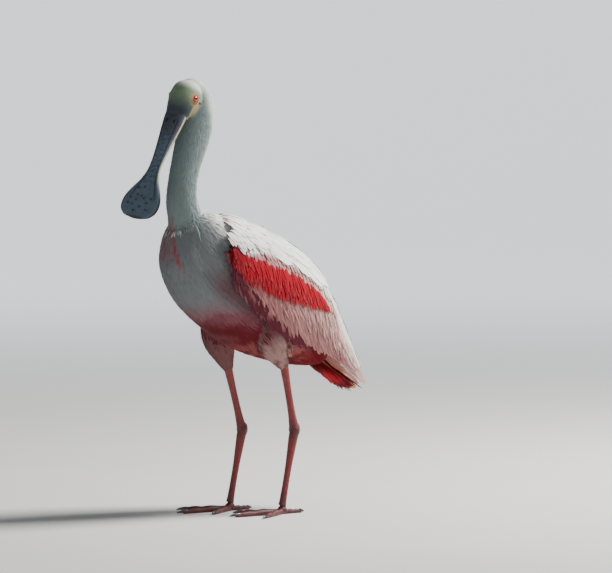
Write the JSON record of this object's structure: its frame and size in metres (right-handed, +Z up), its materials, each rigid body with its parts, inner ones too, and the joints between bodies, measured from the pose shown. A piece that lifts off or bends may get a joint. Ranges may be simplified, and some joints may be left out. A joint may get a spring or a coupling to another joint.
{
  "type": "roseate spoonbill model",
  "caption": "Life-size standing wading bird with a long flat spoon-tipped bill, bare head, slim neck, folded wings in tiers of feathers and long bare legs.",
  "frame": {"origin": "on the floor under the middle of the whole bird's box", "axes": "+Z up from the floor, -Y the way the body heads, +X to the bird's left"},
  "size_m": [0.1792, 0.451, 0.6562],
  "materials": {
    "head_skin": "bare matte skin, grey green with buff on the face",
    "bill": "dull horn, grey with dark mottling",
    "eye": "wet gloss, red with a black pupil",
    "neck_feathers": "soft white feathers",
    "body_feathers": "soft feathers, white to pink",
    "wing_feathers": "smooth overlapping feathers, pale pink with a carmine band",
    "tail_feathers": "smooth feathers, tawny with carmine coverts",
    "leg_skin": "scaly bare skin, dark red with darker joints"
  },
  "bodies": {
    "root": {"head": "head_skin", "bill_upper": "bill", "bill_lower": "bill", "eye_left": "eye", "eye_right": "eye", "neck_upper": "neck_feathers", "neck_lower": "neck_feathers", "torso": "body_feathers", "wing_left": "wing_feathers", "wing_right": "wing_feathers", "tail": "tail_feathers", "thigh_left": "body_feathers", "thigh_right": "body_feathers", "shank_left": "leg_skin", "shank_right": "leg_skin", "tarsus_left": "leg_skin", "tarsus_right": "leg_skin", "foot_left": "leg_skin", "foot_right": "leg_skin"}
  },
  "joints": []
}
